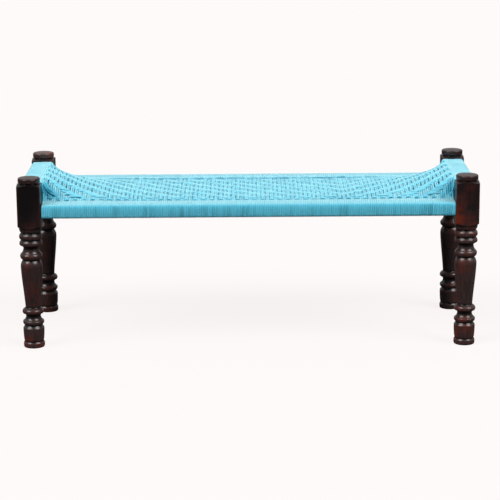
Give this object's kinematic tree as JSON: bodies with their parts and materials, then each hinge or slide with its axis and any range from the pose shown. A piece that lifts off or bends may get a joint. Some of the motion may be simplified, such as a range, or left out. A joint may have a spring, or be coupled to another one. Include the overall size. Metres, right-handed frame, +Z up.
{
  "type": "charpai bench",
  "caption": "Low bench with turned dark wood legs joined by tenoned rails and a seat of interlaced cotton cord bands that sweeps up to the raised end rails.",
  "frame": {"origin": "on the floor under the middle of the seat", "axes": "+X along the bench to the right as seen from the front, -Y to the front, +Z up"},
  "size_m": [1.22, 0.43, 0.464],
  "materials": {
    "stained_wood": "dark stained hardwood under gloss varnish",
    "bare_wood": "planed hardwood, hidden under the cord",
    "wrap_cord": "sky blue cotton cord wound closely round the rails",
    "seat_cord": "sky blue cotton cord woven in bands"
  },
  "bodies": {
    "root": {"leg_front_left": "stained_wood", "leg_front_right": "stained_wood", "leg_back_left": "stained_wood", "leg_back_right": "stained_wood", "rail_front": "bare_wood", "rail_back": "bare_wood", "rail_left": "bare_wood", "rail_right": "bare_wood", "cord_wrap_front": "wrap_cord", "cord_wrap_back": "wrap_cord", "cord_wrap_left": "wrap_cord", "cord_wrap_right": "wrap_cord", "weft_band_01": "seat_cord", "weft_band_02": "seat_cord", "weft_band_03": "seat_cord", "weft_band_04": "seat_cord", "weft_band_05": "seat_cord", "weft_band_06": "seat_cord", "weft_band_07": "seat_cord", "weft_band_08": "seat_cord", "weft_band_09": "seat_cord", "weft_band_10": "seat_cord", "weft_band_11": "seat_cord", "weft_band_12": "seat_cord", "weft_band_13": "seat_cord", "weft_band_14": "seat_cord", "weft_band_15": "seat_cord", "weft_band_16": "seat_cord", "weft_band_17": "seat_cord", "weft_band_18": "seat_cord", "weft_band_19": "seat_cord", "weft_band_20": "seat_cord", "weft_band_21": "seat_cord", "weft_band_22": "seat_cord", "weft_band_23": "seat_cord", "weft_band_24": "seat_cord", "weft_band_25": "seat_cord", "weft_band_26": "seat_cord", "weft_band_27": "seat_cord", "weft_band_28": "seat_cord", "weft_band_29": "seat_cord", "weft_band_30": "seat_cord", "weft_band_31": "seat_cord", "weft_band_32": "seat_cord", "warp_band_01": "seat_cord", "warp_band_02": "seat_cord", "warp_band_03": "seat_cord", "warp_band_04": "seat_cord", "warp_band_05": "seat_cord", "warp_band_06": "seat_cord", "warp_band_07": "seat_cord", "warp_band_08": "seat_cord", "warp_band_09": "seat_cord", "warp_band_10": "seat_cord"}
  },
  "joints": []
}
